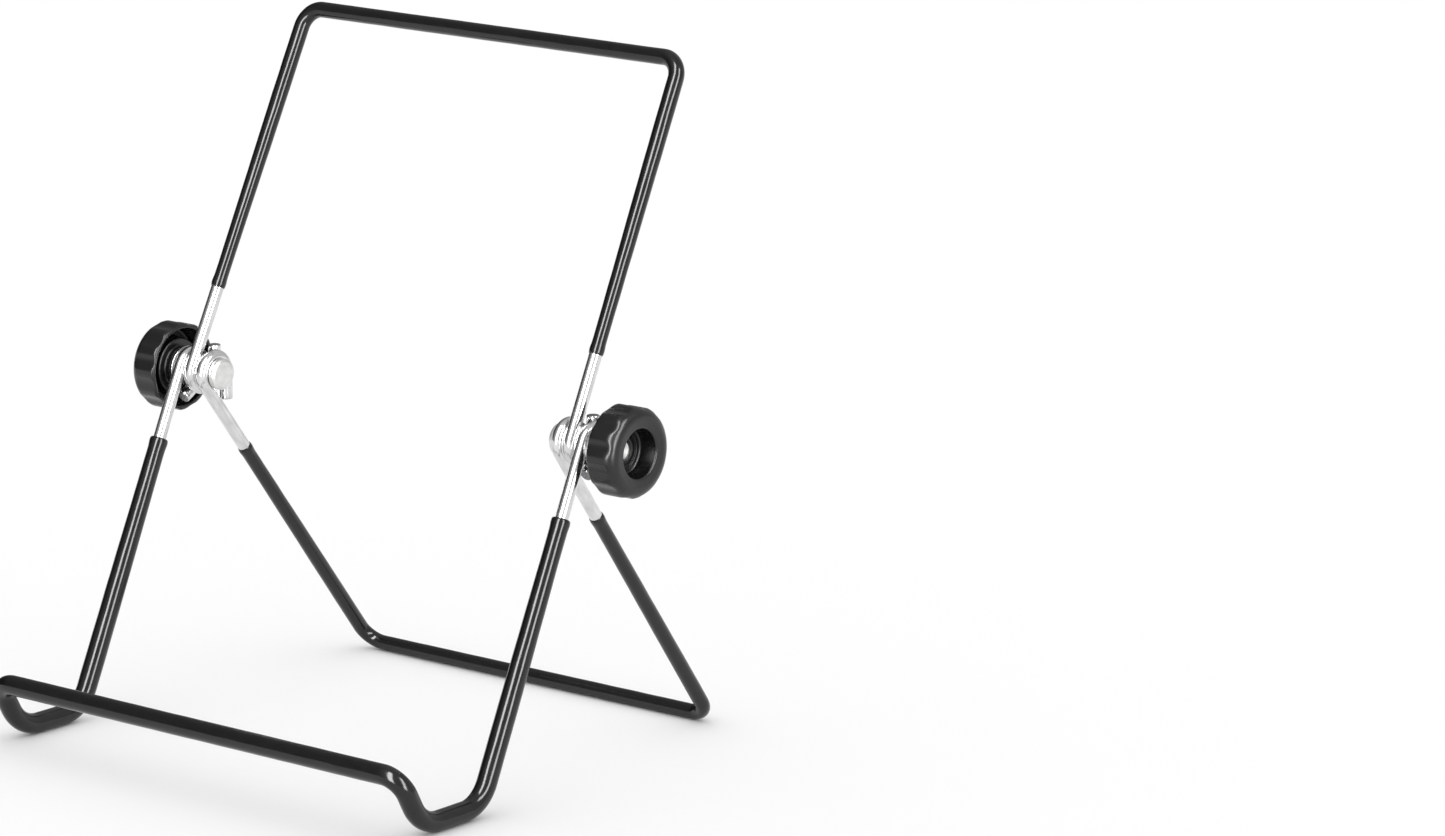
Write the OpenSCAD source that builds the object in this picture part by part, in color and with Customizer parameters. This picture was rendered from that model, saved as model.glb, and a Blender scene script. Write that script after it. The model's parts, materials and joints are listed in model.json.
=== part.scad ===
// Folding wire stand for a photo album: three bent wires that turn on two bolts,
// each clamped by a thumb knob. X is the width, the front faces -Y, Z is up,
// and the origin is on the table under the middle of the stand.

/* [Wire] */
// Diameter of the bare steel wire
wire_d = 3.2; // [2.8:0.1:3.4]
// Centreline radius of the square corners
corner_r = 5.2; // [4.5:0.1:8]
// Outside diameter of the thick plastic dip on the lower frame
lower_coat_d = 5; // [4.4:0.1:5.4]
// Outside diameter of the plastic dip on the upper frame
upper_coat_d = 4; // [3.7:0.1:4.4]
// Outside diameter of the plastic dip on the rear leg
leg_coat_d = 3.8; // [3.6:0.1:4.2]

/* [Hinge] */
// Height of the hinge line above the table
hinge_h = 81; // [76:0.5:90]
// Distance from the middle plane to the centre of a lower frame eye
lower_half_w = 65.2; // [60:0.2:75]
// Radial clearance between an eye and the bolt
eye_clear = 0.08; // [0.05:0.01:0.1]
// Thickness of the washers between the eyes
thin_washer_t = 0.5; // [0.3:0.1:0.8]
// Diameter of the washers between the eyes
thin_washer_d = 10; // [9:0.2:11]
// Thickness of the washer under the knob
knob_washer_t = 1; // [0.8:0.1:1.4]
// Diameter of the washer under the knob
knob_washer_d = 11; // [10:0.5:13]
// Free play beside each clamped face
play = 0.05; // [0.03:0.01:0.08]

/* [Bolt] */
// Bolt shank diameter
bolt_d = 5; // [4.6:0.2:5]
// Bolt head diameter
head_d = 7.8; // [7.4:0.2:9]
// Bolt head thickness
head_t = 1.8; // [1.4:0.1:2.4]
// Length of the bolt under its head
bolt_len = 18; // [17.5:0.1:18]

/* [Lower frame] */
// Lean of the lower frame from the vertical, in degrees
lower_lean = 25.2; // [23:0.2:28]
// Bend radius at the heel of the foot
heel_r = 9; // [7:0.5:10]
// Bend radius at the toe of the foot
toe_r = 10; // [8:0.5:11]
// Length of the foot between its virtual corners
foot_len = 20.6; // [19:0.2:24]
// Lean of the short riser in front of the foot, in degrees
riser_lean = 28; // [24:1:34]
// Height of the centre of the shelf bar above the table
shelf_h = 15.5; // [14.5:0.5:20]
// Bare wire between the hinge and the coat of the lower frame
lower_bare = 19; // [15:0.5:24]

/* [Upper frame] */
// Lean of the upper frame from the vertical, in degrees
upper_lean = 26.7; // [22:0.1:30]
// Distance from the hinge to the centre of the top bar
upper_len = 94.1; // [85:0.5:94.5]
// How far each side runs in between the hinge and the top bar
upper_taper = 1.3; // [0.6:0.1:2]
// Bare wire between the hinge and the coat of the upper frame
upper_bare = 20.5; // [15:0.5:26]

/* [Rear leg] */
// Lean of the rear leg from the vertical, in degrees
leg_lean = 36.6; // [33:0.2:38]
// How far each side runs in between the hinge and the bottom bar
leg_taper = 1.5; // [0.6:0.1:2]
// Bare wire between the hinge and the coat of the rear leg
leg_bare = 22; // [15:0.5:26]

/* [Knob] */
// Diameter over the lobes
knob_d = 22; // [20:0.5:26]
// Length of the gripped rim
knob_len = 8; // [8:0.1:9]
// Number of lobes
lobes = 12; // [10:1:16]
// Depth of the hollows between the lobes
lobe_depth = 0.5; // [0.3:0.1:0.8]
// How far the left knob is screwed back from its washer
left_knob_gap = 0; // [0:0.1:3.6]
// How far the right knob is screwed back from its washer
right_knob_gap = 3.6; // [0:0.1:3.6]
// How far the hub stands out of the rim
hub_reach = 0.1; // [0.1:0.1:0.5]
// Diameter of the hub
hub_d = 10; // [9.4:0.2:11]
// Diameter of the round recess in the outer face
recess_d = 11.8; // [11:0.2:13]
// Depth of the round recess in the outer face
recess_depth = 5.2; // [4.5:0.1:5.2]
// Thickness of the wall and the floor of the recess
recess_t = 1.2; // [0.8:0.1:1.4]
// Depth of the hollow between the recess and the rim, which faces the hinge
cup_depth = 6.2; // [5:0.1:6.4]
// Thickness of the rim around the hollow
rim_t = 1.4; // [1.2:0.1:2]
// Diameter of the threaded metal insert
insert_d = 7.6; // [7:0.1:8.2]
// Length of the threaded metal insert
insert_len = 2.4; // [1.8:0.1:2.4]

/* [Hidden] */
$fn = 64;

steel = "silver";
plastic = [0.09, 0.09, 0.1];

wire_r = wire_d / 2;
eye_r = bolt_d / 2 + eye_clear + wire_r;
eye_pitch = wire_d + thin_washer_t + 2 * play;
upper_half_w = lower_half_w - eye_pitch;
leg_half_w = upper_half_w - eye_pitch;

// Stations along the hinge line, from the bolt head outwards
head_face_x = leg_half_w - wire_r - play;
inner_washer_x = leg_half_w + wire_r + play;
middle_washer_x = upper_half_w + wire_r + play;
knob_washer_x = lower_half_w + wire_r + play;
hub_x = knob_washer_x + knob_washer_t + play;

// How far a run reaches into a bend, and how much thicker a run is in radius
sink = 0.05;
run_grow = 0.01;

// Cut ends of the eyes: how far each wire wraps round, then its straight stub
lower_wrap = 215;
lower_stub = 6.2;
stub_up = 6;
stub_down = 7.2;

// The straight lead and the slight bend that turn a side inwards at the hinge
lead = 1;
taper_r = 40;

// Free length of the lower side, from the hinge to the heel's virtual corner
floor_r = lower_coat_d / 2 + run_grow;
lower_side = (hinge_h + eye_r * sin(lower_lean) - floor_r) / cos(lower_lean);
heel_turn = 90 - lower_lean;
toe_turn = 90 - riser_lean;
heel_cut = heel_r * tan(heel_turn / 2);
toe_cut = toe_r * tan(toe_turn / 2);
riser_len = (shelf_h - floor_r) / cos(riser_lean);

// Length of the rear leg, so that its bar rests on the table
leg_bar_r = leg_coat_d / 2 + run_grow;
leg_len = (hinge_h - eye_r * sin(leg_lean) - leg_bar_r) / cos(leg_lean);

// Reach of the shelf bar before the hinge line and of the leg bar behind it,
// and the place of the hinge line that puts the origin midway between them
heel_reach = eye_r * cos(lower_lean) + lower_side * sin(lower_lean);
front_reach = heel_reach + foot_len + riser_len * sin(riser_lean) + floor_r;
rear_reach = leg_len * sin(leg_lean) - eye_r * cos(leg_lean) + leg_bar_r;
hinge_y = (front_reach - rear_reach) / 2;

// Knob details
rim_round = 1;
face_round = 2.2;
flute_r = 5;
hole_clear = 0.2;
edge = 0.4;
cut = 1;

// ---- Wire drawn as a chain of steps -------------------------------------
// Each step draws its stretch of wire from the origin along +Z and carries the
// next step at its end. $outer and $inner are the radii of the cross-section.
// A bend is drawn a hair thinner than a straight run, and each run reaches a
// little way into the bends beside it, so that the stretches join soundly.

module section(grow) {
    difference() {
        circle(r = $outer + grow);
        if ($inner > 0) circle(r = $inner + grow);
    }
}

// A straight run; it can leave a stretch at its start or its end undrawn
module run(length, skip_start = 0, skip_end = 0, drawn = true) {
    low = skip_start > 0 ? skip_start : -sink;
    high = length - (skip_end > 0 ? skip_end : -sink);
    if (drawn) translate([0, 0, low]) linear_extrude(high - low) section(run_grow);
    translate([0, 0, length]) children();
}

// Turns from +Z by angle, towards the direction that heading gives in the XY plane
module bend(angle, radius, heading, drawn = true) {
    rotate([0, 0, heading]) translate([radius, 0, 0]) {
        if (drawn)
            rotate([90, 0, 0]) rotate([0, 0, 180 - angle])
                rotate_extrude(angle = angle) translate([radius, 0]) section(0);
        rotate([0, angle, 0]) translate([-radius, 0, 0]) rotate([0, 0, -heading]) children();
    }
}

// Puts +Z along a side that leaves the hinge tangent to the front of its eye
module side_at(half_w, lean, upward = false) {
    translate([half_w, hinge_y, hinge_h]) rotate([-lean, 0, 0])
        rotate([upward ? 0 : 180, 0, -90]) translate([eye_r, 0, 0]) children();
}

// The eye goes round the bolt and ends in a straight stub
module eye(wrap, stub) {
    bend(wrap, eye_r, 180) run(stub);
}

// Eye, side, square corner, cross bar, corner, side and eye, all from the right
// to the left. With bare above 0 it is a coat, which leaves that length uncovered.
module tapered_frame(half_w, length, taper, inward, wrap, stub, bare = 0) {
    wire = bare == 0;
    turn = atan(taper / length);
    corner = 90 - turn;
    reach = length - lead - taper_r * sin(turn) - corner_r * (1 - sin(turn));
    side = reach / cos(turn);
    bar = 2 * (half_w - taper_r * (1 - cos(turn)) - side * sin(turn) - corner_r * cos(turn));
    if (wire) rotate([180, 0, 0]) eye(wrap, stub);
    run(lead, drawn = wire) bend(turn, taper_r, inward, wire)
        run(side, skip_start = bare) bend(corner, corner_r, inward)
            run(bar)
                bend(corner, corner_r, inward) run(side, skip_end = bare)
                    bend(turn, taper_r, inward, wire) run(lead, drawn = wire)
                        if (wire) eye(wrap, stub);
}

// The two sides with their feet and risers, joined by the shelf bar
module hooked_frame(wrap, stub, bare = 0) {
    wire = bare == 0;
    side = lower_side - heel_cut;
    foot = foot_len - heel_cut - toe_cut;
    riser = riser_len - toe_cut - corner_r;
    bar = 2 * (lower_half_w - corner_r);
    if (wire) rotate([180, 0, 0]) eye(wrap, stub);
    run(side, skip_start = bare) bend(heel_turn, heel_r, 0)
        run(foot) bend(toe_turn, toe_r, 0)
            run(riser) bend(90, corner_r, 90)
                run(bar)
                    bend(90, corner_r, 90) run(riser)
                        bend(toe_turn, toe_r, 0) run(foot)
                            bend(heel_turn, heel_r, 0) run(side, skip_end = bare)
                                if (wire) eye(wrap, stub);
}

// ---- Wires and their coats ------------------------------------------------

module lower_frame(bare) {
    side_at(lower_half_w, lower_lean) hooked_frame(lower_wrap, lower_stub, bare);
}

module upper_frame(bare) {
    side_at(upper_half_w, upper_lean, true)
        tapered_frame(upper_half_w, upper_len, upper_taper, -90, 180 + upper_lean, stub_up, bare);
}

module rear_leg(bare) {
    side_at(leg_half_w, -leg_lean)
        tapered_frame(leg_half_w, leg_len, leg_taper, 90, 180 + leg_lean, stub_down, bare);
}

module wire() {
    $outer = wire_r;
    $inner = 0;
    color(steel) children();
}

module coat(diameter) {
    $outer = diameter / 2;
    $inner = wire_r;
    color(plastic) children();
}

// ---- Hinge hardware, drawn for the right side -----------------------------

// Puts +Z along the hinge line, pointing outwards, at distance x from the middle
module on_hinge(x) {
    translate([x, hinge_y, hinge_h]) rotate([0, 90, 0]) children();
}

module on_side(side) {
    if (side > 0) children();
    else mirror([1, 0, 0]) children();
}

// Round flat-headed bolt with broken edges
module bolt(side) {
    color(steel) on_side(side) on_hinge(head_face_x) rotate_extrude()
        polygon([[0, -head_t], [head_d / 2 - edge, -head_t], [head_d / 2, edge - head_t],
                 [head_d / 2, 0], [bolt_d / 2, 0], [bolt_d / 2, bolt_len - edge],
                 [bolt_d / 2 - edge, bolt_len], [0, bolt_len]]);
}

module washer(side, x, diameter, thickness) {
    color(steel) on_side(side) on_hinge(x) difference() {
        cylinder(h = thickness, d = diameter);
        translate([0, 0, -cut]) cylinder(h = thickness + 2 * cut, d = bolt_d + 2 * hole_clear);
    }
}

// Where the hub of a knob starts
function knob_x(side) = hub_x + (side > 0 ? right_knob_gap : left_knob_gap);

// Half outline of the knob, hub side first; y is the distance outwards from the hub's face
module knob_outline() {
    rim = knob_d / 2;
    last = hub_reach + knob_len;
    recess_r = recess_d / 2;
    recess_floor = last - recess_depth;
    difference() {
        union() {
            square([hub_d / 2, recess_floor]);
            translate([0, hub_reach]) square([rim - rim_round, knob_len]);
            translate([0, hub_reach + rim_round]) square([rim, knob_len - rim_round - face_round]);
            translate([rim - rim_round, hub_reach + rim_round]) circle(r = rim_round);
            translate([rim - face_round, last - face_round]) circle(r = face_round);
        }
        translate([hub_d / 2, 0]) square([rim - rim_t - hub_d / 2, recess_floor - recess_t]);
        translate([recess_r + recess_t, 0])
            square([rim - rim_t - recess_r - recess_t, hub_reach + cup_depth]);
        translate([rim - face_round, last - face_round]) difference() {
            square(face_round + cut);
            circle(r = face_round);
        }
        translate([0, recess_floor]) square([recess_r, recess_depth + cut]);
        square([bolt_d / 2 + hole_clear, recess_floor + cut]);
        square([insert_d / 2, insert_len]);
    }
}

module knob(side) {
    color(plastic) on_side(side) on_hinge(knob_x(side)) difference() {
        rotate_extrude() knob_outline();
        for (i = [0 : lobes - 1])
            rotate([0, 0, (i + 0.5) * 360 / lobes])
                translate([knob_d / 2 + flute_r - lobe_depth, 0, hub_reach - cut])
                    cylinder(h = knob_len + 2 * cut, r = flute_r);
    }
}

// Round threaded insert moulded into the hub, flush with its face
module knob_insert(side) {
    color(steel) on_side(side) on_hinge(knob_x(side)) difference() {
        cylinder(h = insert_len, d = insert_d);
        translate([0, 0, -cut]) cylinder(h = insert_len + 2 * cut, d = bolt_d + 2 * eye_clear);
    }
}

wire() lower_frame(0);  // lower_frame_wire
coat(lower_coat_d) lower_frame(lower_bare);  // lower_frame_coat
wire() upper_frame(0);  // upper_frame_wire
coat(upper_coat_d) upper_frame(upper_bare);  // upper_frame_coat
wire() rear_leg(0);  // rear_leg_wire
coat(leg_coat_d) rear_leg(leg_bare);  // rear_leg_coat
bolt(-1);  // bolt_left
bolt(1);  // bolt_right
washer(-1, inner_washer_x, thin_washer_d, thin_washer_t);  // inner_washer_left
washer(1, inner_washer_x, thin_washer_d, thin_washer_t);  // inner_washer_right
washer(-1, middle_washer_x, thin_washer_d, thin_washer_t);  // middle_washer_left
washer(1, middle_washer_x, thin_washer_d, thin_washer_t);  // middle_washer_right
washer(-1, knob_washer_x, knob_washer_d, knob_washer_t);  // knob_washer_left
washer(1, knob_washer_x, knob_washer_d, knob_washer_t);  // knob_washer_right
knob(-1);  // knob_left
knob(1);  // knob_right
knob_insert(-1);  // knob_insert_left
knob_insert(1);  // knob_insert_right
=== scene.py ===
import json
import math

import bpy
from mathutils import Matrix, Vector, noise

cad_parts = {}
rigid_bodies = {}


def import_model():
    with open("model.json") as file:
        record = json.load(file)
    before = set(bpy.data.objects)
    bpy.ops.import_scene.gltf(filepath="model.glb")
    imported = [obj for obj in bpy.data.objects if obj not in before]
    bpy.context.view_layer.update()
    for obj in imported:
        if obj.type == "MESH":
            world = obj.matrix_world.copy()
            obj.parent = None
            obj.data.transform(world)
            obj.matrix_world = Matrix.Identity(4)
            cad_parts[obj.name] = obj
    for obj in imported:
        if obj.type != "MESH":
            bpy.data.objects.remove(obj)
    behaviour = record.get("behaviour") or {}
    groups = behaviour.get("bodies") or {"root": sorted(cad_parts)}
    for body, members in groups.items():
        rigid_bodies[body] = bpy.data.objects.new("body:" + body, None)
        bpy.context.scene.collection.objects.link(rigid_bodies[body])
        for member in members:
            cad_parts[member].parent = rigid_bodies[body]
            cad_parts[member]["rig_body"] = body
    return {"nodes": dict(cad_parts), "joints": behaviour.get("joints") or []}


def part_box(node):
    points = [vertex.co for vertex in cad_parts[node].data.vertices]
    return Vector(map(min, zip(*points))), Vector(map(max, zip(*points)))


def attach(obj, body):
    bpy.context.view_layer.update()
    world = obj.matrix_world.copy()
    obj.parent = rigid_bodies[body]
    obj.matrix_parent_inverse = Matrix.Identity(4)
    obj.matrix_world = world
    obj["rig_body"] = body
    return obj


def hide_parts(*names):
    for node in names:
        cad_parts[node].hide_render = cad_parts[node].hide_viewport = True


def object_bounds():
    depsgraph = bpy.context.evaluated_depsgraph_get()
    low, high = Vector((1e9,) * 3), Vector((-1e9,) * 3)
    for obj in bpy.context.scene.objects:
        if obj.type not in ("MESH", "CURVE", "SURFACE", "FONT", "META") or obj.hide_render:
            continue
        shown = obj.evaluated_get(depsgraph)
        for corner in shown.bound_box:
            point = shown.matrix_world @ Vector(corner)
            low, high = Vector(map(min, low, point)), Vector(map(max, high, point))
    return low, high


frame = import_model()
cad_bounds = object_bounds()

# ---- Sizes --------------------------------------------------------------------
# Lengths are in millimetres, as in the CAD, and a mesh is scaled to metres as it
# is made. Angles are in radians unless a name says degrees.

MM = 0.001
TURN = 2 * math.pi
HALF = math.pi
QUARTER = math.pi / 2

WIRE_R = 1.6
EYE_R = 4.18
CORNER_R = 5.2
TAPER_R = 40.0
LEAD = 1.0
HEEL_R = 9.0
TOE_R = 10.0
FOOT_LEN = 20.6
SHELF_H = 15.5
FLOOR_R = 2.51
LEG_BAR_R = 1.91
UPPER_LEN = 94.1

LOWER_LEAN = math.radians(25.2)
RISER_LEAN = math.radians(28)
UPPER_LEAN = math.radians(26.7)
LEG_LEAN = math.radians(36.6)

# How far each wire wraps round its bolt, and the straight stub beyond
LOWER_WRAP = math.radians(215)
UPPER_WRAP = HALF + UPPER_LEAN
LEG_WRAP = HALF + LEG_LEAN
LOWER_STUB = 6.2
UPPER_STUB = 6.0
LEG_STUB = 7.2

# How far each side runs in over its whole length
UPPER_TAPER = 1.3
LEG_TAPER = 1.5

# Free space at each face between two pieces on the hinge line
PLAY = 0.05
# Long enough to pass every piece on the hinge line
HINGE_LINE_LEN = 100

BOLT_R = 2.5
# Hole in a washer and in the knob, beyond the bolt's radius
HOLE_CLEAR = 0.2
THREAD_PITCH = 0.8
THREAD_DEPTH = 0.42
# Below 1, a thread's crests are narrower than its grooves
CREST_SHAPE = 0.8

LOBES = 12
LOBE_DEPTH = 0.5
FLUTE_R = 5.0
# Along the knob: these three from the hub's face, the recess's depth from the outer face
CUP_RIM = 0.1
HUB_LEN = 1.7
CUP_FLOOR = 6.3
RECESS_DEPTH = 5.2
HUB_R = 5.0
RECESS_R = 5.9
RECESS_WALL_R = 7.1
CUP_R = 9.6

KNURL_TEETH = 36
KNURL_DEPTH = 0.08
INSERT_BORE_R = 2.58
INSERT_THREAD_DEPTH = 0.22

# Spacing of the rings of a bent wire, on its straight runs and on its bends
RUN_STEP = 1.5
BEND_STEP = 0.55
WIRE_SIDES = 32
COAT_SIDES = 40
TURNED_SIDES = 96
BOLT_SIDES = 48
KNOB_SIDES = 180

hinge = Vector(frame["joints"][0]["pos_m"]) / MM


def reach(node):
    """Distance from the middle plane to the centreline of a wire's eyes."""
    low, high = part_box(node)
    return (high.x - low.x) / 2 / MM - WIRE_R


def stations(node):
    """Where a piece on the hinge line starts and ends, going outwards, and its radius."""
    low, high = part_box(node)
    near, far = sorted((abs(low.x), abs(high.x)))
    return near / MM, far / MM, (high.z - low.z) / 2 / MM


# ---- Bent wire ----------------------------------------------------------------


class Chain:
    """Centreline of a wire, made of straight runs and round bends. +Z runs along it."""

    def __init__(self, start):
        self.end = start
        self.length = 0.0
        self.steps = []
        self.stops = [0.0]

    def run(self, length):
        return self._add(length, RUN_STEP, lambda part: Matrix.Translation((0, 0, part * length)))

    def bend(self, angle, radius, heading):
        """Turns by angle towards the direction that heading gives in the wire's own XY plane."""
        out = Matrix.Rotation(heading, 4, "Z") @ Matrix.Translation((radius, 0, 0))
        back = out.inverted()
        return self._add(
            angle * radius, BEND_STEP, lambda part: out @ Matrix.Rotation(part * angle, 4, "Y") @ back
        )

    def _add(self, length, spacing, place):
        self.steps.append((self.length, length, self.end, place))
        count = math.ceil(length / spacing)
        self.stops += [self.length + length * i / count for i in range(1, count + 1)]
        self.end = self.end @ place(1)
        self.length += length
        return self

    def place(self, distance):
        """Placement on the centreline at a distance along it."""
        for begin, length, start, place in reversed(self.steps):
            if distance >= begin or begin == 0:
                return start @ place((distance - begin) / length)

    def between(self, low, high):
        """Ring distances from low to high."""
        gap = BEND_STEP / 4
        return [low] + [stop for stop in self.stops if low + gap < stop < high - gap] + [high]


def hinge_side(half_w, lean, upward=False):
    """Placement where the right side leaves the front of its eye, +Z along the side."""
    turn = Matrix.Rotation(-lean, 4, "X") @ Matrix.Rotation(-QUARTER, 4, "Z")
    if not upward:
        turn = turn @ Matrix.Rotation(HALF, 4, "X")
    return Matrix.Translation((half_w, hinge.y, hinge.z)) @ turn @ Matrix.Translation((EYE_R, 0, 0))


def from_eye(side, wrap, stub):
    """A chain that starts at the cut end of the right eye and arrives at the given side."""
    turn_back = Matrix.Rotation(HALF, 4, "X")
    cut_end = Chain(side @ turn_back).bend(wrap, EYE_R, HALF).run(stub).end
    return Chain(cut_end @ turn_back).run(stub).bend(wrap, EYE_R, HALF)


def lower_chain():
    """Two sides with feet and risers, joined by the shelf bar."""
    half_w = reach("lower_frame_wire")
    heel_turn, toe_turn = QUARTER - LOWER_LEAN, QUARTER - RISER_LEAN
    heel_cut, toe_cut = HEEL_R * math.tan(heel_turn / 2), TOE_R * math.tan(toe_turn / 2)
    side = (hinge.z + EYE_R * math.sin(LOWER_LEAN) - FLOOR_R) / math.cos(LOWER_LEAN) - heel_cut
    foot = FOOT_LEN - heel_cut - toe_cut
    riser = (SHELF_H - FLOOR_R) / math.cos(RISER_LEAN) - toe_cut - CORNER_R
    chain = from_eye(hinge_side(half_w, LOWER_LEAN), LOWER_WRAP, LOWER_STUB)
    chain.run(side).bend(heel_turn, HEEL_R, 0).run(foot).bend(toe_turn, TOE_R, 0).run(riser)
    chain.bend(QUARTER, CORNER_R, QUARTER).run(2 * (half_w - CORNER_R)).bend(QUARTER, CORNER_R, QUARTER)
    chain.run(riser).bend(toe_turn, TOE_R, 0).run(foot).bend(heel_turn, HEEL_R, 0).run(side)
    return chain.bend(LOWER_WRAP, EYE_R, HALF).run(LOWER_STUB)


def tapered_chain(node, side, length, taper, inward, wrap, stub):
    """Two straight sides that run in a little, square corners and a cross bar."""
    turn = math.atan(taper / length)
    corner = QUARTER - turn
    run = (length - LEAD - TAPER_R * math.sin(turn) - CORNER_R * (1 - math.sin(turn))) / math.cos(turn)
    drawn_in = TAPER_R * (1 - math.cos(turn)) + run * math.sin(turn) + CORNER_R * math.cos(turn)
    chain = from_eye(side, wrap, stub).run(LEAD)
    chain.bend(turn, TAPER_R, inward).run(run).bend(corner, CORNER_R, inward)
    chain.run(2 * (reach(node) - drawn_in))
    chain.bend(corner, CORNER_R, inward).run(run).bend(turn, TAPER_R, inward)
    return chain.run(LEAD).bend(wrap, EYE_R, HALF).run(stub)


def upper_chain():
    node = "upper_frame_wire"
    side = hinge_side(reach(node), UPPER_LEAN, upward=True)
    return tapered_chain(node, side, UPPER_LEN, UPPER_TAPER, -QUARTER, UPPER_WRAP, UPPER_STUB)


def leg_chain():
    node = "rear_leg_wire"
    length = (hinge.z - EYE_R * math.sin(LEG_LEAN) - LEG_BAR_R) / math.cos(LEG_LEAN)
    side = hinge_side(reach(node), -LEG_LEAN)
    return tapered_chain(node, side, length, LEG_TAPER, QUARTER, LEG_WRAP, LEG_STUB)


# ---- Meshes -------------------------------------------------------------------


def smooth_step(value):
    value = min(max(value, 0.0), 1.0)
    return value * value * (3 - 2 * value)


def rounded(corners, arc=6):
    """Outline through (along, radius, rounding) corners, with each rounding drawn as an arc."""
    points = []
    for i, (along, radius, rounding) in enumerate(corners):
        here = Vector((along, radius))
        if rounding == 0:
            points.append(tuple(here))
            continue
        before = (Vector(corners[i - 1][:2]) - here).normalized()
        after = (Vector(corners[(i + 1) % len(corners)][:2]) - here).normalized()
        half = before.angle(after) / 2
        centre = here + (before + after).normalized() * rounding / math.sin(half)
        start = here + before * rounding / math.tan(half) - centre
        end = here + after * rounding / math.tan(half) - centre
        points += [tuple(centre + start.lerp(end, k / arc).normalized() * rounding) for k in range(arc + 1)]
    return points


def divided(points, longest):
    """The outline with its long stretches cut into lengths of at most longest."""
    result = []
    for (s0, r0), (s1, r1) in zip(points, points[1:]):
        count = max(1, math.ceil(math.hypot(s1 - s0, r1 - r0) / longest))
        result += [(s0 + (s1 - s0) * k / count, r0 + (r1 - r0) * k / count) for k in range(count)]
    return result + [points[-1]]


def piece(node, materials, chain, outline, sides, closed=False, shape=None, cut_rows=0):
    """Skins an outline of (distance along the chain, radius) points round the chain.

    shape(distance, radius, angle) may change the radius. The first and last cut_rows bands
    take the second material. The attribute "straight" keeps each point's place, in
    millimetres, on the wire as it was before it was bent: X along it, Y and Z across it.
    """
    points, straight, rings = [], [], []
    for along, radius in outline:
        at = chain.place(along)
        ring = []
        for j in range(sides if radius > 0 else 1):
            angle = TURN * j / sides
            out = shape(along, radius, angle) if shape and radius > 0 else radius
            across = Vector((out * math.cos(angle), out * math.sin(angle), 0))
            ring.append(len(points))
            points.append(at @ across * MM)
            straight += [along, across.x, across.y]
        rings.append(ring)
    bands = list(zip(rings, rings[1:] + rings[:1] if closed else rings[1:]))
    faces, paint = [], []
    for i, (low, high) in enumerate(bands):
        for j in range(sides):
            near_pair = (low[j % len(low)], low[(j + 1) % len(low)])
            far_pair = (high[(j + 1) % len(high)], high[j % len(high)])
            faces.append(list(dict.fromkeys(near_pair + far_pair)))
            paint.append(int(i < cut_rows or i >= len(bands) - cut_rows))
    mesh = bpy.data.meshes.new(node)
    mesh.from_pydata(points, [], faces)
    mesh.attributes.new("straight", "FLOAT_VECTOR", "POINT").data.foreach_set("vector", straight)
    for material in materials:
        mesh.materials.append(material)
    mesh.polygons.foreach_set("material_index", paint)
    mesh.shade_smooth()
    made = bpy.data.objects.new(node + "_look", mesh)
    bpy.context.scene.collection.objects.link(made)
    made.modifiers.new("flat faces stay flat", "WEIGHTED_NORMAL")
    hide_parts(node)
    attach(made, frame["nodes"][node]["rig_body"])


def bare_wire(node, chain, materials):
    """The whole wire, with its sheared ends broken a little at the edge."""
    end = [(0.0, 0.0), (0.0, 0.6), (0.0, 1.1), (0.02, 1.38), (0.12, 1.54), (0.35, WIRE_R)]
    end_len = 1.0
    body = [(stop, WIRE_R) for stop in chain.between(end_len, chain.length - end_len)]
    outline = end + body + [(chain.length - along, radius) for along, radius in reversed(end)]
    piece(node, materials, chain, outline, WIRE_SIDES, cut_rows=4)


def coat(node, chain, materials, eye_len, bare, hinge_r, bar_r, run):
    """The dipped plastic on a wire: thinner towards the hinge, with a bead and a round lip there.

    eye_len is the length of wire in an eye, bare the length left uncovered beside it, and
    run the length over which the coat grows from hinge_r to bar_r.
    """
    bore = WIRE_R + 0.015
    lip, bead, bead_at, bead_width = 0.55, 0.14, 1.2, 1.1
    lump, lump_len, lump_girth, finer = 0.035, 6, 1.3, 2.7
    own_pattern = bar_r * 7
    low, high = eye_len + bare, chain.length - eye_len - bare

    def depth(along):
        return min(along - low, high - along)

    def radius(along):
        full = hinge_r + (bar_r - hinge_r) * smooth_step(depth(along) / run)
        full += bead * math.exp(-(((depth(along) - bead_at) / bead_width) ** 2))
        if depth(along) >= lip:
            return full
        return bore + (full - bore) * math.sqrt(1 - (1 - max(depth(along), 0) / lip) ** 2)

    def uneven(along, radius, angle):
        if radius < bore + 0.02:
            return radius
        around = lump_girth * math.cos(angle), lump_girth * math.sin(angle) + own_pattern
        spot = Vector((along / lump_len, *around))
        return radius + lump * (noise.noise(spot) + 0.4 * noise.noise(spot * finer) - 1)

    fine = [lip * (1 - math.cos(QUARTER * k / 7)) for k in range(7)] + [0.9, 1.3, 1.8, 2.4, 3.1, 4.0]
    middle = chain.between(low + 5, high - 5)
    outer = [low + d for d in fine] + middle + [high - d for d in reversed(fine)]
    inner = [high - 0.2] + middle[::-1] + [low + 0.2]
    outline = [(along, radius(along)) for along in outer] + [(along, bore) for along in inner]
    piece(node, materials, chain, outline, COAT_SIDES, closed=True, shape=uneven)


# ---- Hinge hardware -----------------------------------------------------------


def hinge_line(side):
    """A straight chain from the middle plane outwards along the hinge line."""
    outward = Matrix.Rotation(QUARTER if side == "right" else -QUARTER, 4, "Y")
    return Chain(Matrix.Translation((0, hinge.y, hinge.z)) @ outward).run(HINGE_LINE_LEN)


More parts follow.
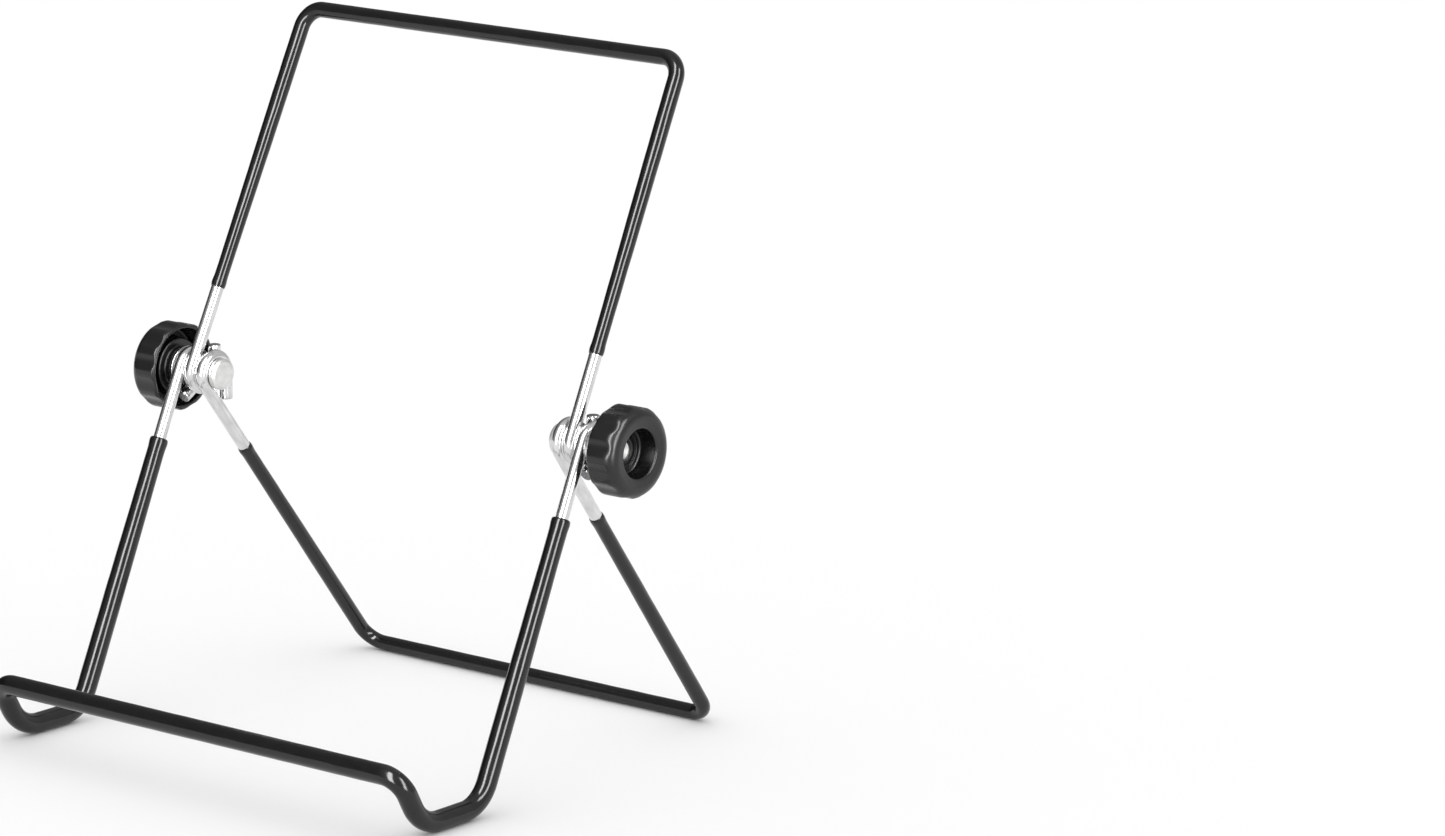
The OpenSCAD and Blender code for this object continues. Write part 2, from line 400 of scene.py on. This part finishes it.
def thread(start, crest_r, depth):
    """A right-handed thread that runs out at start; depth is negative for an inside thread."""

    def shape(along, radius, angle):
        phase = TURN * (along / THREAD_PITCH) - angle
        cut = depth * (0.5 - 0.5 * math.cos(phase)) ** CREST_SHAPE
        cut *= smooth_step((along - start) / THREAD_PITCH)
        return min(radius, crest_r - cut) if depth > 0 else max(radius, crest_r - cut)

    return shape


def bolt(side, materials):
    """Flat head with a turned edge, plain shank through the eyes, then thread and a cupped end."""
    node = "bolt_" + side
    near, far, head_r = stations(node)
    head_end = stations("inner_washer_" + side)[0] - 2 * WIRE_R - 2 * PLAY
    outline = rounded([
        (near, 0, 0), (near + 0.03, head_r - 0.75, 0.5), (near + 0.4, head_r, 0.3),
        (head_end, head_r, 0.25), (head_end, BOLT_R, 0.15),
        (far - 0.3, BOLT_R, 0.1), (far, BOLT_R - 0.3, 0.1), (far - 0.8, 0, 0),
    ])
    thread_start = stations("knob_washer_" + side)[0]
    outside = thread(thread_start, BOLT_R, THREAD_DEPTH)

    def cut_thread(along, radius, angle):
        threaded = along > thread_start and radius > BOLT_R - THREAD_DEPTH
        return outside(along, radius, angle) if threaded else radius

    piece(node, materials, hinge_line(side), divided(outline, 0.1), BOLT_SIDES, shape=cut_thread)


def washer(node, side, materials):
    """A stamped washer: rounded on the punch side, sharper on the other."""
    near, far, outer_r = stations(node)
    hole_r = BOLT_R + HOLE_CLEAR
    outline = rounded([
        (near, hole_r, 0.08), (near, outer_r, 0.1),
        (far, outer_r, 0.22), (far, hole_r, 0.15),
    ], arc=4)
    piece(node, materials, hinge_line(side), outline, TURNED_SIDES, closed=True)


def knob(side, materials):
    """Lobed thumb knob: hub and deep hollow towards the hinge, round recess in the outer face."""
    node = "knob_" + side
    near, far, outer_r = stations(node)
    insert_far, insert_r = stations("knob_insert_" + side)[1:]
    rim, hub_end, cup_floor = near + CUP_RIM, near + HUB_LEN, near + CUP_FLOOR
    recess_floor = far - RECESS_DEPTH
    groove_floor, boss_face = recess_floor - 0.35, recess_floor - 0.1
    hole_r = BOLT_R + HOLE_CLEAR
    outline = rounded([
        (near, insert_r, 0), (near, HUB_R, 0.4),
        (hub_end, HUB_R, 0.4), (hub_end, RECESS_WALL_R, 0.5),
        (cup_floor, RECESS_WALL_R, 0.6), (cup_floor, CUP_R - 0.1, 0.8),
        (rim, CUP_R + 0.1, 0.35), (rim, outer_r, 0.9),
        (far - 0.05, outer_r, 2.5), (far, 8.1, 1.2), (far - 0.3, RECESS_R, 0.55),
        (recess_floor, RECESS_R - 0.1, 0.6), (recess_floor, 4.5, 0.2),
        (groove_floor, 4.4, 0.1), (groove_floor, 3.7, 0.1),
        (boss_face, 3.6, 0.1), (boss_face, 3.2, 0.1),
        (recess_floor - 0.3, hole_r, 0.1), (insert_far, hole_r, 0), (insert_far, insert_r, 0),
    ])
    flute_out = outer_r + FLUTE_R - LOBE_DEPTH
    # How softly a lobe runs into the hollow beside it
    blend = 0.13

    def lobed(along, radius, angle):
        inside_wall = radius < CUP_R + 0.5
        if inside_wall:
            return radius
        away = ((angle * LOBES / TURN) % 1 - 0.5) * TURN / LOBES
        hollow = flute_out * math.cos(away) - math.sqrt(FLUTE_R**2 - (flute_out * math.sin(away)) ** 2)
        return radius - blend * math.log(1 + math.exp((radius - hollow) / blend))

    closed = divided(outline + outline[:1], 1.0)[:-1]
    piece(node, materials, hinge_line(side), closed, KNOB_SIDES, closed=True, shape=lobed)


def knob_insert(side, materials):
    """Knurled and threaded insert, flush with the hub."""
    node = "knob_insert_" + side
    near, far, outer_r = stations(node)
    mouth_r, mouth_len = INSERT_BORE_R + 0.25, 0.3
    outline = rounded([
        (near, mouth_r, 0), (near, outer_r, 0.1), (far, outer_r, 0.1), (far, mouth_r, 0),
        (far - mouth_len, INSERT_BORE_R, 0), (near + mouth_len, INSERT_BORE_R, 0),
    ], arc=3)
    inside = thread(near, INSERT_BORE_R, -INSERT_THREAD_DEPTH)

    def cut(along, radius, angle):
        if radius < mouth_r - 0.01:
            return inside(along, radius, angle)
        tooth = KNURL_DEPTH * (1 + math.cos(KNURL_TEETH * angle))
        return radius - tooth * smooth_step((radius - outer_r) / 0.2 + 1.5)

    closed = divided(outline + outline[:1], 0.12)[:-1]
    piece(node, materials, hinge_line(side), closed, KNURL_TEETH * 4, closed=True, shape=cut)


# ---- Materials ----------------------------------------------------------------


# The part of a noise's range that is stretched over the whole of a look
NOISE_LOW = 0.3
NOISE_HIGH = 0.7


class Material:
    """A node material on the Principled shader, with short ways to add what varies over it."""

    def __init__(self, name, **fixed):
        self.made = bpy.data.materials.new(name)
        self.made.use_nodes = True
        self.tree = self.made.node_tree
        self.shader = self.tree.nodes["Principled BSDF"]
        self.set(self.shader, {key.replace("_", " "): value for key, value in fixed.items()})

    def set(self, node, inputs):
        for key, value in inputs.items():
            if isinstance(value, bpy.types.NodeSocket):
                self.tree.links.new(value, node.inputs[key])
            else:
                node.inputs[key].default_value = value

    def add(self, kind, inputs, **settings):
        node = self.tree.nodes.new("ShaderNode" + kind)
        for key, value in settings.items():
            setattr(node, key, value)
        self.set(node, inputs)
        return node

    def straight(self, stretch=(1, 1, 1)):
        """The place on the straightened piece, in millimetres, with each axis scaled."""
        place = self.add("Attribute", {}, attribute_name="straight").outputs["Vector"]
        return self.add("Mapping", {"Vector": place, "Scale": stretch}).outputs["Vector"]

    def ring(self):
        """Distance from the axis, in millimetres, as a coordinate for turned lines."""
        across = self.add("VectorMath", {0: self.straight((0, 1, 1))}, operation="LENGTH")
        return self.add("CombineXYZ", {"X": across.outputs["Value"]}).outputs["Vector"]

    def mottle(self, place, scale, detail, roughness=0.5):
        inputs = {"Vector": place, "Scale": scale, "Detail": detail, "Roughness": roughness}
        return self.add("TexNoise", inputs).outputs["Fac"]

    def between(self, value, low, high):
        """The noise value becomes a number from low to high."""
        inputs = {"Value": value, "From Min": NOISE_LOW, "From Max": NOISE_HIGH}
        inputs.update({"To Min": low, "To Max": high})
        return self.add("MapRange", inputs).outputs["Result"]

    def tint(self, value, first, last):
        """The noise value becomes a colour from first to last."""
        ramp = self.add("ValToRGB", {"Fac": value})
        ends = (NOISE_LOW, NOISE_HIGH)
        for element, position, colour in zip(ramp.color_ramp.elements, ends, (first, last)):
            element.position = position
            element.color = (*colour, 1)
        return ramp.outputs["Color"]

    def bump(self, height, depth, strength, over=None):
        """A relief of depth millimetres, on top of an earlier one."""
        inputs = {"Height": height, "Distance": depth * MM, "Strength": strength}
        if over is not None:
            inputs["Normal"] = over
        return self.add("Bump", inputs).outputs["Normal"]

    def finish(self, colour, roughness, normal):
        self.set(self.shader, {"Base Color": colour, "Roughness": roughness, "Normal": normal})
        return self.made


def coat_material():
    """Glossy dipped PVC: slow ripples, a faint orange peel, a little haze."""
    m = Material("dipped_pvc", Specular_IOR_Level=0.5)
    ripple = m.mottle(m.straight((0.5, 1, 1)), 0.28, 1.0)
    peel = m.mottle(m.straight(), 1.7, 3.0)
    haze = m.mottle(m.straight((0.3, 1, 1)), 0.9, 4.0, 0.6)
    colour = m.tint(haze, (0.0035, 0.0035, 0.0038), (0.0065, 0.0065, 0.0070))
    relief = m.bump(peel, 0.004, 0.5, m.bump(ripple, 0.03, 0.6))
    return m.finish(colour, m.between(haze, 0.13, 0.20), relief)


def wire_material():
    """Bright nickel plating over drawn wire: fine lines along it and a few dull patches."""
    m = Material("nickel_wire", Metallic=1.0)
    lines = m.mottle(m.straight((0.03, 1, 1)), 7.0, 3.0, 0.6)
    patches = m.mottle(m.straight((0.35, 1, 1)), 0.8, 3.0)
    colour = m.tint(patches, (0.60, 0.60, 0.605), (0.76, 0.76, 0.76))
    relief = m.bump(lines, 0.003, 0.6, m.bump(patches, 0.01, 0.5))
    return m.finish(colour, m.between(patches, 0.24, 0.16), relief)


def cut_material():
    """Sheared steel at the ends of the wires: grey, coarse, half bright and half torn."""
    m = Material("sheared_steel", Metallic=1.0)
    torn = m.mottle(m.straight((1, 1, 0.35)), 3.5, 5.0, 0.7)
    colour = m.tint(torn, (0.10, 0.10, 0.105), (0.36, 0.36, 0.37))
    return m.finish(colour, m.between(torn, 0.62, 0.45), m.bump(torn, 0.10, 0.7))


def bolt_material():
    """Satin nickel with fine turned rings."""
    m = Material("satin_nickel", Metallic=1.0)
    rings = m.mottle(m.ring(), 9.0, 3.0, 0.6)
    cloud = m.mottle(m.straight(), 0.6, 3.0)
    colour = m.tint(cloud, (0.62, 0.62, 0.61), (0.76, 0.76, 0.75))
    return m.finish(colour, m.between(cloud, 0.38, 0.30), m.bump(rings, 0.004, 0.5))


def washer_material():
    """Zinc-plated steel: bright, faintly crystalline, with punch marks."""
    m = Material("zinc_washer", Metallic=1.0)
    grain = m.mottle(m.straight(), 2.6, 4.0, 0.6)
    colour = m.tint(grain, (0.56, 0.565, 0.57), (0.78, 0.78, 0.79))
    return m.finish(colour, m.between(grain, 0.18, 0.28), m.bump(grain, 0.008, 0.5))


def knob_material():
    """Moulded charcoal plastic: fine spark-eroded texture, a little polished by fingers."""
    m = Material("moulded_plastic", Specular_IOR_Level=0.5)
    grain = m.mottle(m.straight(), 5.0, 3.0, 0.6)
    wear = m.mottle(m.straight((0.6, 1, 1)), 0.35, 3.0)
    colour = m.tint(wear, (0.0035, 0.0035, 0.0038), (0.0065, 0.0065, 0.0068))
    relief = m.bump(grain, 0.008, 0.5, m.bump(wear, 0.05, 0.4))
    return m.finish(colour, m.between(wear, 0.34, 0.24), relief)


def insert_material():
    """Turned steel, dulled by oil."""
    m = Material("turned_steel", Metallic=1.0)
    film = m.mottle(m.straight(), 1.1, 4.0, 0.6)
    colour = m.tint(film, (0.10, 0.10, 0.10), (0.26, 0.26, 0.255))
    return m.finish(colour, m.between(film, 0.50, 0.34), m.bump(film, 0.02, 0.4))


# ---- Studio -------------------------------------------------------------------

CAMERA_TURN_DEGREES = 39.07
CAMERA_RISE_DEGREES = 13.10
CAMERA_DISTANCE = 1.4625
CAMERA_LENS = 151.92
SENSOR_WIDTH = 36
# The view is centred to the right of the stand, which leaves room for a second one
AIM_RIGHT = 0.0858
AIM_UP = -0.0049
FLOOR_SIZE = 60.0

# Two tall lights, which make the long highlights on the wires
STRIP_DISTANCE = 0.9
STRIP_HEIGHT = 1.6
# Name, turn and rise in degrees, width, brightness
STRIPS = [
    ("left_strip", 14.7, 31.2, 0.30, 16.0),
    ("right_strip", 78.3, 12.8, 0.26, 13.0),
]

# Light from all round, and what reflections see instead: dark on the left, pale elsewhere
FILL = 1.08
ROOM = {"From Min": -0.9, "From Max": -0.25, "To Min": 0.03, "To Max": 0.62}


def direction(turn_degrees, rise_degrees):
    """Unit vector from the stand, turned from the front towards +X and raised."""
    turn, rise = math.radians(turn_degrees), math.radians(rise_degrees)
    return Vector((math.cos(rise) * math.sin(turn), -math.cos(rise) * math.cos(turn), math.sin(rise)))


def facing(place, target, up):
    """Placement whose -Z looks from place to target, with +Y as near up as it goes."""
    back = (place - target).normalized()
    high = (up - back * up.dot(back)).normalized()
    return Matrix.Translation(place) @ Matrix((high.cross(back), high, back)).transposed().to_4x4()


def camera(centre):
    away = direction(CAMERA_TURN_DEGREES, CAMERA_RISE_DEGREES)
    right = Vector((0, 0, 1)).cross(away).normalized()
    target = centre + right * AIM_RIGHT + away.cross(right) * AIM_UP
    data = bpy.data.cameras.new("camera")
    data.lens = CAMERA_LENS
    data.sensor_width = SENSOR_WIDTH
    data.clip_start = 0.01
    made = bpy.data.objects.new("camera", data)
    made.matrix_world = facing(target + away * CAMERA_DISTANCE, target, Vector((0, 0, 1)))
    bpy.context.scene.collection.objects.link(made)
    bpy.context.scene.camera = made


def strip(name, centre, toward, width, radiance, up):
    """A tall light aimed at centre. It shows only in reflections."""
    data = bpy.data.lights.new(name, "AREA")
    data.shape = "RECTANGLE"
    data.size, data.size_y = width, STRIP_HEIGHT
    data.energy = radiance * math.pi * width * STRIP_HEIGHT
    made = bpy.data.objects.new(name, data)
    made.matrix_world = facing(centre + toward * STRIP_DISTANCE, centre, up)
    made.visible_camera = False
    made.visible_diffuse = False
    bpy.context.scene.collection.objects.link(made)


def surroundings():
    """Even white light, and a pale room in reflections that darkens towards the left."""
    world = bpy.data.worlds.new("studio")
    bpy.context.scene.world = world
    world.use_nodes = True
    nodes, links = world.node_tree.nodes, world.node_tree.links
    toward = nodes.new("ShaderNodeSeparateXYZ")
    links.new(nodes.new("ShaderNodeTexCoord").outputs["Generated"], toward.inputs["Vector"])
    room = nodes.new("ShaderNodeMapRange")
    links.new(toward.outputs["X"], room.inputs["Value"])
    for name, value in ROOM.items():
        room.inputs[name].default_value = value
    strength = nodes.new("ShaderNodeMapRange")
    links.new(nodes.new("ShaderNodeLightPath").outputs["Is Glossy Ray"], strength.inputs["Value"])
    strength.inputs["To Min"].default_value = FILL
    links.new(room.outputs["Result"], strength.inputs["To Max"])
    links.new(strength.outputs["Result"], nodes["Background"].inputs["Strength"])
    nodes["Background"].inputs["Color"].default_value = (1, 1, 1, 1)


def floor():
    mesh = bpy.data.meshes.new("floor")
    edge = FLOOR_SIZE / 2
    corners = [(-edge, -edge, 0), (edge, -edge, 0), (edge, edge, 0), (-edge, edge, 0)]
    mesh.from_pydata(corners, [], [(0, 1, 2, 3)])
    m = Material("pale_floor", Base_Color=(0.93, 0.93, 0.93, 1), Roughness=0.9, Specular_IOR_Level=0.0)
    mesh.materials.append(m.made)
    made = bpy.data.objects.new("floor", mesh)
    bpy.context.scene.collection.objects.link(made)


def studio():
    low, high = cad_bounds
    # On the middle plane: the box's own centre is off it, as one knob is screwed further out
    centre = Vector((0, (low[1] + high[1]) / 2, (low[2] + high[2]) / 2))
    camera(centre)
    surroundings()
    floor()
    side_axis = Vector((0, math.sin(LOWER_LEAN), math.cos(LOWER_LEAN)))
    for name, turn_degrees, rise_degrees, width, radiance in STRIPS:
        strip(name, centre, direction(turn_degrees, rise_degrees), width, radiance, side_axis)
    bpy.context.scene.view_settings.view_transform = "Standard"


# ---- The stand ----------------------------------------------------------------


def eye_length(wrap, stub):
    return wrap * EYE_R + stub


def stand():
    wire, dip = [wire_material(), cut_material()], [coat_material()]
    lower, upper, leg = lower_chain(), upper_chain(), leg_chain()
    bare_wire("lower_frame_wire", lower, wire)
    bare_wire("upper_frame_wire", upper, wire)
    bare_wire("rear_leg_wire", leg, wire)
    lower_eye = eye_length(LOWER_WRAP, LOWER_STUB)
    upper_eye = eye_length(UPPER_WRAP, UPPER_STUB)
    leg_eye = eye_length(LEG_WRAP, LEG_STUB)
    coat("lower_frame_coat", lower, dip, lower_eye, bare=19.0, hinge_r=2.22, bar_r=2.5, run=55)
    coat("upper_frame_coat", upper, dip, upper_eye, bare=20.5, hinge_r=1.74, bar_r=2.0, run=60)
    coat("rear_leg_coat", leg, dip, leg_eye, bare=22.0, hinge_r=1.75, bar_r=1.9, run=60)
    bright, zinc = [bolt_material()], [washer_material()]
    plastic, steel = [knob_material()], [insert_material()]
    for side in ("left", "right"):
        bolt(side, bright)
        for kind in ("inner", "middle", "knob"):
            washer(f"{kind}_washer_{side}", side, zinc)
        knob(side, plastic)
        knob_insert(side, steel)


stand()
studio()
